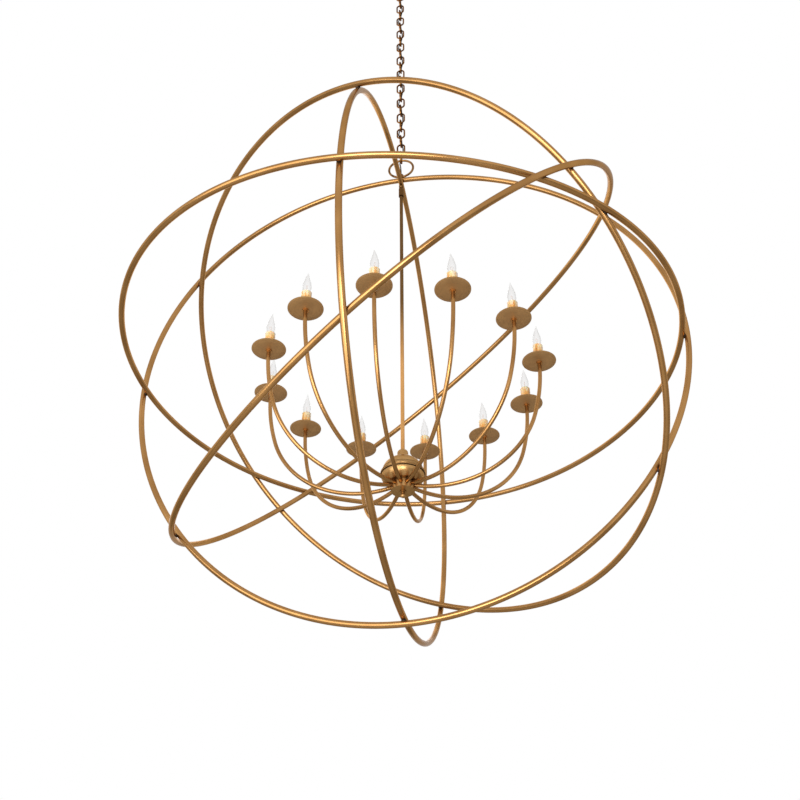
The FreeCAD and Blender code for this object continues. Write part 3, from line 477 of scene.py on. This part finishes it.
def clear_glass():
    """Glass too thin to bend the light: faint face on, grey and glossy where the eye looks along it. The
    grey edges are painted shade for the darker surroundings that real glass shows there.
    """
    material, tree, surface = shader("lamp_glass", base_color=(0.42, 0.385, 0.355, 1), roughness=0.06)
    surface.inputs["IOR"].default_value = 1.45
    # Painted shade: grey cover that thickens towards the edges.
    facing = add_node(tree, "ShaderNodeLayerWeight", Blend=0.5)
    edge_greys = ((0.0, 0.07), (0.5, 0.18), (0.82, 0.46), (1.0, 0.85))
    edge_grey = ramp(tree, facing.outputs["Facing"],
                   [(position, (value,) * 3) for position, value in edge_greys])
    tree.links.new(edge_grey, surface.inputs["Alpha"])
    return material


weld = dark_weld_finish()
jacket = cord_jacket()
wax = candle_wax()
porcelain = plain("socket_porcelain", (0.86, 0.83, 0.76), 0.35)
brass_shell = plain("lamp_base_brass", (0.72, 0.50, 0.24), 0.28, 1.0)
filament_wire = plain("filament_wire", (0.62, 0.26, 0.08), 0.5, 0.6)
support_glass = plain("lamp_support_glass", (0.78, 0.80, 0.80), 0.15)
glass = clear_glass()


# The supply cord runs down through every link. One smooth route is cut in the middle of a link
# wherever the next length has to bend about the next hinge.

CANOPY_FOOT = -0.036
CANOPY_LOOP = -0.06675
FIRST_BEND = -0.066
CHAIN_TOP = -0.1043
CHAIN_PITCH = 0.0484
LINK_COUNT = 25
LOOP_REACH = 0.0515
LOOP_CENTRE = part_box("hanging_loop")[1].z - LOOP_REACH
CORD_RADIUS = 0.00225
CORD_SIDES = 12
CORD_STEPS = 10
CORD_STANDOFF = 0.008


def cord_route():
    """The cord's way down, leaning to one side of each link's wire and then to the other."""
    points = [Vector((0, 0, CANOPY_FOOT)), Vector((0, 0, CANOPY_LOOP + CORD_STANDOFF))]
    side_x, side_y = CORD_STANDOFF, CORD_STANDOFF
    for index in range(LINK_COUNT + 1):
        points.append(Vector((side_x, side_y, CHAIN_TOP + CHAIN_PITCH / 2 - index * CHAIN_PITCH)))
        if index % 2 == 0:
            side_x = -side_x
        else:
            side_y = -side_y
    points.append(Vector((0, 0, LOOP_CENTRE + CORD_STANDOFF)))
    points.append(Vector((0, 0, LOOP_CENTRE - LOOP_REACH)))
    return points


def follow_spline(points):
    """Points read from the smooth spline through the route."""
    curve = bpy.data.curves.new("cord_route", "CURVE")
    curve.dimensions = "3D"
    curve.resolution_u = CORD_STEPS
    spline = curve.splines.new("NURBS")
    spline.points.add(len(points) - 1)
    for control, point in zip(spline.points, points):
        control.co = (*point, 1)
    spline.order_u = 3
    spline.use_endpoint_u = True
    carrier = bpy.data.objects.new("cord_route", curve)
    bpy.context.scene.collection.objects.link(carrier)
    bpy.context.view_layer.update()
    line = bpy.data.meshes.new_from_object(carrier.evaluated_get(bpy.context.evaluated_depsgraph_get()))
    found = [vertex.co.copy() for vertex in line.vertices]
    bpy.data.objects.remove(carrier)
    bpy.data.meshes.remove(line)
    return found


def make_cords():
    line = follow_spline(cord_route())
    first = CHAIN_TOP
    second = CHAIN_TOP - CHAIN_PITCH
    last = CHAIN_TOP - (LINK_COUNT - 1) * CHAIN_PITCH
    lengths = [
        ("supply_cord_top", line[0].z, first, ("ceiling_fitting", "top_link"),
         (FIRST_BEND, first), ["cord_at_canopy"]),
        ("supply_cord_second", first, second, ("top_link", "chain"),
         (first, second), ["cord_in_top_link"]),
        ("supply_cord_chain", second, last, ("chain", "bottom_link"),
         (last + CHAIN_PITCH, last), ["cord_in_chain"]),
        ("supply_cord_foot", last, line[-1].z, ("bottom_link", "orb"),
         (last, LOOP_CENTRE + CORD_STANDOFF), ["cord_in_bottom_link", "cord_to_stem"]),
    ]
    for name, top, bottom, bodies, (start, end), replaced in lengths:
        begin = min(range(len(line)), key=lambda index: abs(line[index].z - top))
        finish = min(range(len(line)), key=lambda index: abs(line[index].z - bottom))
        path = line[begin:finish + 1]
        piece = add_object(name, tube_mesh(name, path, CORD_RADIUS, CORD_SIDES), material=jacket)
        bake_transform(piece)
        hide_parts(*replaced)


make_cords()


# The chain: round wire links with the small swelling of a butt weld in one side.

WIRE_RADIUS = 0.00325
BOW_RADIUS = 0.01425
BOW_CENTRE = 0.01335
BOW_STEPS = 24
SIDE_STEPS = 6
LINK_SIDES = 14
WELD_HALF_LENGTH = 0.003
WELD_SWELLING = 1.07


def link_mesh():
    """One link: each turn of the loop is a bow and a straight side, and the other turn is its image."""
    centres = []
    for sign in (1, -1):
        for step in range(BOW_STEPS):
            angle = math.pi * step / BOW_STEPS
            centres.append(Vector((BOW_RADIUS * math.cos(angle), 0,
                                   BOW_CENTRE + BOW_RADIUS * math.sin(angle))) * sign)
        for step in range(SIDE_STEPS):
            height = BOW_CENTRE - 2 * BOW_CENTRE * step / SIDE_STEPS
            centres.append(Vector((-BOW_RADIUS, 0, height)) * sign)
    mesh = tube_mesh("chain_link", centres, WIRE_RADIUS, LINK_SIDES, closed=True)
    for vertex in mesh.vertices:
        if vertex.co.x > BOW_RADIUS - 2 * WIRE_RADIUS and abs(vertex.co.z) < WELD_HALF_LENGTH:
            axis = Vector((BOW_RADIUS, 0, vertex.co.z))
            vertex.co = axis + (vertex.co - axis) * WELD_SWELLING
    return mesh


def make_chain():
    link = link_mesh()
    link.materials.append(chain_gold)
    bodies = {0: "top_link", LINK_COUNT - 1: "bottom_link"}
    replaced = {0: "chain_link_top", 1: "chain_run", LINK_COUNT - 1: "chain_link_bottom"}
    for index in range(LINK_COUNT):
        place = Matrix.Translation((0, 0, CHAIN_TOP - index * CHAIN_PITCH))
        if index % 2 == 0:
            place = place @ Matrix.Rotation(math.pi / 2, 4, "Z")
        piece = add_object(f"link_{index + 1:02d}", link, bodies.get(index, "chain"), place=place)
        if index in replaced:
            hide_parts(replaced[index])


make_chain()


# The woven rings, bent in their planes just enough for each pair to touch at both crossings.

def lean(tilt, heading):
    """Direction that leans from upright by the tilt, towards the heading, both in degrees."""
    tilt, heading = math.radians(tilt), math.radians(heading)
    return np.array([math.sin(tilt) * math.cos(heading), math.sin(tilt) * math.sin(heading),
                     math.cos(tilt)])


RING_AXES = {"slant_one": lean(44.4, 47.8), "level": lean(1.2, -40), "front": np.array([0.0, 1, 0]),
             "slant_two": lean(44, 215.8), "side": np.array([1.0, 0, 0])}
RINGS = list(RING_AXES)

# Two rings, the outer one where they cross on one side, and the outer one on the other.
CROSSINGS = [
    ("slant_one", "level", "level", "slant_one"),
    ("slant_one", "front", "front", "slant_one"),
    ("slant_one", "slant_two", "slant_two", "slant_one"),
    ("slant_one", "side", "side", "slant_one"),
    ("level", "front", "front", "front"),
    ("level", "slant_two", "slant_two", "level"),
    ("level", "side", "level", "level"),
    ("front", "slant_two", "front", "slant_two"),
    ("front", "side", "front", "front"),
    ("slant_two", "side", "slant_two", "side"),
]
CROSSING_DISTANCE = 0.0194
WAVES = range(1, 5)
LEAST_WAVE_COST = 0.3
RING_STEPS = 288
RING_SIDES = 20


def unit(vector):
    return vector / np.linalg.norm(vector)


def ring_plane(axis):
    """Two directions square to each other and to a ring's axis."""
    guide = np.array([1.0, 0, 0]) if abs(axis[2]) > 0.9 else np.array([0.0, 0, 1])
    first = unit(np.cross(guide, axis))
    return first, np.cross(axis, first)


def wave_row(angle):
    """What a ring's radius takes at an angle from its own change of size and from each wave."""
    waves = [part for wave in WAVES for part in (math.cos(wave * angle), math.sin(wave * angle))]
    return np.array([1.0] + waves)


def bend_rings():
    """Sizes of each ring's waves: the least bending that holds every crossing one tube apart."""
    wave_costs = [max(wave * wave - 1, LEAST_WAVE_COST) for wave in WAVES for part in range(2)]
    cost = np.array([1.0] + wave_costs)
    rows = []
    for one, two, outer, outer_opposite in CROSSINGS:
        along = unit(np.cross(RING_AXES[one], RING_AXES[two]))
        for direction, outside in ((along, outer), (-along, outer_opposite)):
            row = np.zeros((len(RINGS), len(cost)))
            for ring in (one, two):
                first, second = ring_plane(RING_AXES[ring])
                angle = math.atan2(direction @ second, direction @ first)
                row[RINGS.index(ring)] = wave_row(angle) * (1 if ring == outside else -1)
            rows.append(row.ravel())
    matrix = np.array(rows)
    ease = 1 / np.tile(cost, len(RINGS)) ** 2
    pushes = np.linalg.solve((matrix * ease) @ matrix.T, np.full(len(rows), CROSSING_DISTANCE))
    return dict(zip(RINGS, (ease * (matrix.T @ pushes)).reshape(len(RINGS), len(cost))))


def make_rings():
    for ring, sizes in bend_rings().items():
        first, second = ring_plane(RING_AXES[ring])
        centres = []
        for angle in turn_angles(RING_STEPS):
            reach = RING_RADIUS + sizes @ wave_row(angle)
            centres.append(Vector(reach * (first * math.cos(angle) + second * math.sin(angle))) + CENTRE)
        name = "orb_tube_" + ring
        tube = tube_mesh(name, centres, TUBE_RADIUS, RING_SIDES, closed=True)
        piece = add_object(name, tube, "orb", gold)
        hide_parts("orb_ring_" + ring)


make_rings()


# Candle covers with run-down drips, and their sockets.

COVER_SHAPES = 4
COVER_RADIUS = 0.0156
COVER_SIDES = 72
COVER_TURN = 2.3
WALL_FOOT = 0.004
WALL_HEIGHT = 0.060
WALL_STEPS = 26
COVER_MOUTH = [(0.0153, SLEEVE_HEIGHT), (0.0145, SLEEVE_HEIGHT - 0.0003),
               (0.0141, SLEEVE_HEIGHT - 0.002), (0.0141, 0.050)]
DRIP_COUNT = 9
DRIP_WIDTHS = (0.16, 0.34)
DRIP_LENGTHS = (0.018, 0.056)
DRIP_DEPTH = 0.0008
DRIP_END = 0.006
BEAD_PLACE = 0.004
BEAD_SWELLING = 0.45
LIP_HEIGHT = 0.005
LIP_DEPTH = 0.0004


def drip_swell(drips, angle, height):
    """Share of a drip's full depth at a point of the cover: a run of wax with a bead at its end."""
    swell = 0.0
    for where, width, length in drips:
        above = height - (SLEEVE_HEIGHT - length)
        if above > 0:
            apart = (angle - where + math.pi) % (2 * math.pi) - math.pi
            end = math.sqrt(min(1.0, above / DRIP_END))
            bead = 1 + BEAD_SWELLING * math.exp(-((above - BEAD_PLACE) / BEAD_PLACE) ** 2)
            swell = max(swell, end * bead * math.exp(-(apart / width) ** 2))
    return swell


def cover_mesh(seed):
    """Cover with a lip that overflows in drips of different widths and lengths."""
    random = np.random.default_rng(seed)
    drips = [(random.uniform(0, 2 * math.pi), random.uniform(*DRIP_WIDTHS),
              random.uniform(*DRIP_LENGTHS)) for drip in range(DRIP_COUNT)]
    wall = [WALL_FOOT + WALL_HEIGHT * step / WALL_STEPS for step in range(WALL_STEPS + 1)]
    heights = [0.0, 0.002] + wall + [0.0652]
    points = []
    for height in heights:
        lip = LIP_DEPTH * max(0.0, 1 - (SLEEVE_HEIGHT - height) / LIP_HEIGHT)
        for angle in turn_angles(COVER_SIDES):
            radius = COVER_RADIUS + DRIP_DEPTH * drip_swell(drips, angle, height) + lip
            points.append((radius * math.cos(angle), radius * math.sin(angle), height))
    for radius, height in COVER_MOUTH:
        for angle in turn_angles(COVER_SIDES):
            points.append((radius * math.cos(angle), radius * math.sin(angle), height))
    return make_mesh("candle_cover", points, loft_faces(len(heights) + len(COVER_MOUTH), COVER_SIDES))


SOCKET_SIDES = 40
SOCKET_OUTLINE = [(0, 0.002), (0.011, 0.002), (0.011, 0.0608), (0.0105, 0.0618), (0.0075, 0.062),
                  (0.0066, 0.0617), (0.0065, 0.060), (0.0065, 0.040), (0, 0.040)]


# The lamps: screw shell, glass, and the mount that holds the leads and the filament.

LAMP_SEAT = 0.042
LAMP_TURN = 1.7
LAMP_START = 0.6
GLASS_SIDES = 40
SHELL_SIDES = 32
MOUNT_SIDES = 20
OUTLINE_STEPS = 5
GLASS_OUTLINE = [(0.0067, 0.0208), (0.0079, 0.0235), (0.0103, 0.029), (0.0126, 0.036), (0.0138, 0.043),
                 (0.0140, 0.048), (0.0135, 0.055), (0.0121, 0.063), (0.0101, 0.072), (0.0079, 0.081),
                 (0.0058, 0.089), (0.0040, 0.096), (0.0027, 0.101), (0.0018, 0.105), (0.0011, 0.1085),
                 (0.0, 0.1098)]
MOUNT_OUTLINE = [(0.0045, 0.0215), (0.0034, 0.025), (0.0020, 0.030), (0.0014, 0.035), (0.0017, 0.037),
                 (0, 0.0378)]
SHELL_FOOT = [(0, 0.0), (0.0022, 0.0), (0.0026, 0.0012), (0.0042, 0.0022), (0.0052, 0.0026)]
SHELL_NECK = [(0.0058, 0.0170), (0.0060, 0.0185), (0.0066, 0.0203), (0.0071, 0.0215), (0, 0.0216)]
THREAD_COUNT = 5
THREAD_STEPS = 40
THREAD_RADIUS = 0.00545
THREAD_DEPTH = 0.00038
THREAD_FOOT = 0.003
THREAD_LENGTH = 0.0135
TIP_LEAN = 0.0026
LEAN_START = 0.070
LEAN_RUN = 0.040
FILAMENT_HALF_SPAN = 0.0042
FILAMENT_HEIGHT = 0.0505
FILAMENT_RISE = 0.0030
FILAMENT_TURNS = 12
FILAMENT_STEPS = 96
COIL_RADIUS = 0.00035
COIL_WIRE = 0.00014
LEAD_START = (0.0008, 0.036)
LEAD_ELBOW = (0.0022, 0.042)
LEAD_WIRE = 0.00028


def shell_outline():
    """Screw shell with rounded threads between the foot contact and the crimped neck."""
    outline = list(SHELL_FOOT)
    for step in range(THREAD_STEPS + 1):
        part = step / THREAD_STEPS
        depth = THREAD_DEPTH * math.sin(2 * math.pi * THREAD_COUNT * part)
        outline.append((THREAD_RADIUS + depth, THREAD_FOOT + THREAD_LENGTH * part))
    return outline + SHELL_NECK


def smooth_outline(outline):
    """More points along an outline, none of them past the axis."""
    found = [(max(float(radius), 0), float(height))
             for radius, height in smooth_points(outline, OUTLINE_STEPS)]
    return found + [outline[-1]]


def glass_mesh():
    """Flame-shaped envelope, its drawn tip leaning a little."""
    mesh = lathe_mesh("flame_glass", smooth_outline(GLASS_OUTLINE), GLASS_SIDES)
    for vertex in mesh.vertices:
        above = max(0.0, (vertex.co.z - LEAN_START) / LEAN_RUN)
        vertex.co.x += TIP_LEAN * above ** 2
    return mesh


def filament_mesh():
    """Fine coil that hangs in an arch between the two leads."""
    points = []
    for step in range(FILAMENT_STEPS + 1):
        part = step / FILAMENT_STEPS
        turn = 2 * math.pi * FILAMENT_TURNS * part
        points.append((FILAMENT_HALF_SPAN * (2 * part - 1), COIL_RADIUS * math.cos(turn),
                       FILAMENT_HEIGHT + FILAMENT_RISE * math.sin(math.pi * part)
                       + COIL_RADIUS * math.sin(turn)))
    return tube_mesh("filament", points, COIL_WIRE, 6)


def lead_mesh(name, side):
    """Wire from the mount out to one end of the filament."""
    points = [(side * out, 0, height)
              for out, height in (LEAD_START, LEAD_ELBOW, (FILAMENT_HALF_SPAN, FILAMENT_HEIGHT))]
    return tube_mesh(name, smooth_points(points, 6) + [points[-1]], LEAD_WIRE, 8)


def lamp_parts():
    """Name, mesh and slot of each piece of a lamp, which stands on the foot of its base."""
    shell = lathe_mesh("screw_shell", shell_outline(), SHELL_SIDES)
    mount = lathe_mesh("lamp_mount", smooth_outline(MOUNT_OUTLINE), MOUNT_SIDES)
    parts = [
        ("flame_glass", glass_mesh(), glass, "lamp_glass"),
        ("screw_shell", shell, brass_shell, "antique_gold"),
        ("lamp_mount", mount, support_glass, "lamp_glass"),
        ("filament", filament_mesh(), filament_wire, "fitting_steel"),
        ("lead_left", lead_mesh("lead_left", -1), filament_wire, "fitting_steel"),
        ("lead_right", lead_mesh("lead_right", 1), filament_wire, "fitting_steel"),
    ]
    for name, mesh, material, slot in parts:
        mesh.materials.append(material)
    return [(name, mesh, slot) for name, mesh, material, slot in parts]


def make_candles():
    """A cover, a socket and a lamp on each pan, each turned its own way so that no two look alike."""
    covers = [cover_mesh(seed) for seed in range(COVER_SHAPES)]
    for mesh in covers:
        mesh.materials.append(wax)
    socket = lathe_mesh("lamp_socket", SOCKET_OUTLINE, SOCKET_SIDES)
    socket.materials.append(porcelain)
    parts = lamp_parts()
    for index, angle in enumerate(turn_angles(ARM_COUNT)):
        number = f"{index + 1:02d}"
        stand = Vector((ARM_REACH * math.cos(angle), ARM_REACH * math.sin(angle), PAN_SEAT))
        place = Matrix.Translation(stand)
        cover = add_object("candle_cover_" + number, covers[index % COVER_SHAPES], "orb",
                           place=place @ Matrix.Rotation(angle * COVER_TURN, 4, "Z"))
        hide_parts("candle_" + number)
        holder = add_object("lamp_socket_" + number, socket, "orb", place=place)
        seat = Matrix.Translation(stand + Vector((0, 0, LAMP_SEAT)))
        seat = seat @ Matrix.Rotation(angle * LAMP_TURN + LAMP_START, 4, "Z")
        for name, mesh, slot in parts:
            piece = add_object(name + "_" + number, mesh, "lamp_" + number, place=seat)
            if name == "flame_glass":
                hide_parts("lamp_" + number)


make_candles()


# Materials of the modelled nodes that stay as they are.

NODE_METALS = {
    "ring_welds": weld, "canopy_strap": steel, "canopy_nipple": steel, "hanging_loop": dark_gold,
    "canopy_loop": dark_gold, "hub_dome": hub_gold, "hub_bowl": hub_gold, "arm_drum": hub_gold,
    "finial": hub_gold, "stem": stem_gold,
}


def dress_nodes():
    for name, piece in nodes.items():
        if not piece.hide_render:
            usual = arm_gold if name.startswith("arm_") else gold
            piece.data.materials.clear()
            piece.data.materials.append(NODE_METALS.get(name, usual))


dress_nodes()


# Studio: white surroundings, a pale floor far below, and soft lamps.

FLOOR_HEIGHT = -6.8
FLOOR_REACH = 40
FLOOR_LIFT = 0.12
SPREAD_LIGHT = 0.34


def make_world():
    """White to the eye and in reflections, and soft as a source of light."""
    world = bpy.data.worlds.new("studio")
    bpy.context.scene.world = world
    world.use_nodes = True
    tree = world.node_tree
    background = tree.nodes["Background"]
    background.inputs["Color"].default_value = (1, 1, 1, 1)
    strength = map_range(tree, seen_directly(tree), (0, 1), (SPREAD_LIGHT, 1.0))
    tree.links.new(strength, background.inputs["Strength"])


def make_floor():
    corners = [(x * FLOOR_REACH, y * FLOOR_REACH, FLOOR_HEIGHT)
               for x, y in ((-1, -1), (1, -1), (1, 1), (-1, 1))]
    mesh = make_mesh("floor", corners, [(0, 1, 2, 3)], smooth=False)
    paint = plain("floor_paint", (0.74, 0.73, 0.71), 0.9, grain=3, spread=0.03)
    tree = paint.node_tree
    surface = tree.nodes["Principled BSDF"]
    surface.inputs["Emission Color"].default_value = (1, 0.985, 0.96, 1)
    lift = calculate(tree, "MULTIPLY", seen_directly(tree), FLOOR_LIFT)
    tree.links.new(lift, surface.inputs["Emission Strength"])
    add_object("floor", mesh, material=paint)


def area_light(name, place, size, power):
    """Soft lamp that faces the orb and isn't seen itself."""
    data = bpy.data.lights.new(name, "AREA")
    data.shape = "RECTANGLE"
    data.size, data.size_y = size
    data.energy = power
    light = bpy.data.objects.new(name, data)
    bpy.context.scene.collection.objects.link(light)
    light.visible_camera = False
    place = Vector(place)
    turn = (CENTRE - place).to_track_quat("-Z", "Y").to_matrix().to_4x4()
    light.matrix_world = Matrix.Translation(place) @ turn


make_world()
make_floor()
area_light("front", (-1.8, -5.3, -4.0), (8.0, 4.6), 340)
area_light("front_core", (0.65, -4.4, -3.5), (2.2, 1.5), 65)
area_light("back_left", (-2.05, 3.55, 0.55), (6.0, 3.6), 85)

bpy.context.scene.view_settings.view_transform = "Standard"
